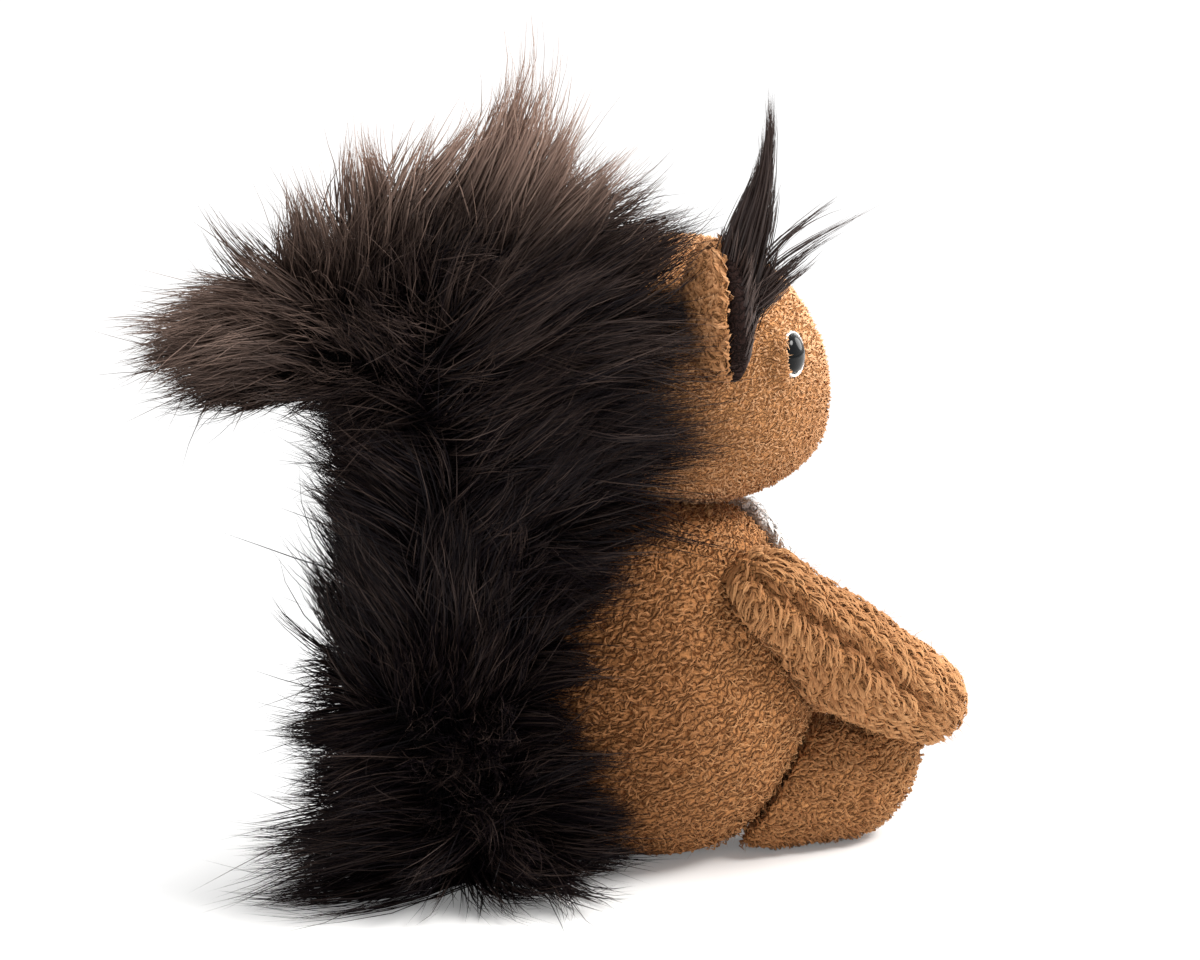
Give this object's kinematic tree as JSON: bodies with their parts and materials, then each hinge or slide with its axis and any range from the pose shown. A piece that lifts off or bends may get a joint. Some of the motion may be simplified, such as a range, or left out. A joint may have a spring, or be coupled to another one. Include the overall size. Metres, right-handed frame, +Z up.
{
  "type": "plush squirrel",
  "caption": "Seated plush squirrel of short curly tan pile with a white chest patch, tufted ears, domed eyes and an upright long-haired dark tail that curls back.",
  "frame": {"origin": "middle of the flat underside of the torso, on the surface that the squirrel sits on", "axes": "+Z up; the squirrel faces -Y, so its own right side is at -X; the tail stands behind it at +Y"},
  "size_m": [0.1159, 0.23, 0.2292],
  "materials": {
    "tan_plush": "short curly plush pile, tan",
    "face_plush": "shorter, finer tan plush pile",
    "white_plush": "soft off-white plush pile",
    "dark_fur": "long straight dark brown pile, slightly glossy",
    "eye_black": "polished black",
    "eye_white": "plain white",
    "washer_white": "plain moulded",
    "thread_dark": "dark brown embroidery thread"
  },
  "bodies": {
    "root": {"torso": "tan_plush", "chest_panel": "white_plush", "head": "face_plush", "ear_right": "face_plush", "ear_left": "face_plush", "ear_lining_right": "dark_fur", "ear_lining_left": "dark_fur", "arm_right": "tan_plush", "arm_left": "tan_plush", "leg_right": "tan_plush", "leg_left": "tan_plush", "tail": "dark_fur", "eye_right": "eye_black", "eye_left": "eye_black", "eye_rim_right": "eye_white", "eye_rim_left": "eye_white", "eye_washer_right": "washer_white", "eye_washer_left": "washer_white", "nose": "thread_dark", "mouth_stitch": "thread_dark"}
  },
  "joints": []
}
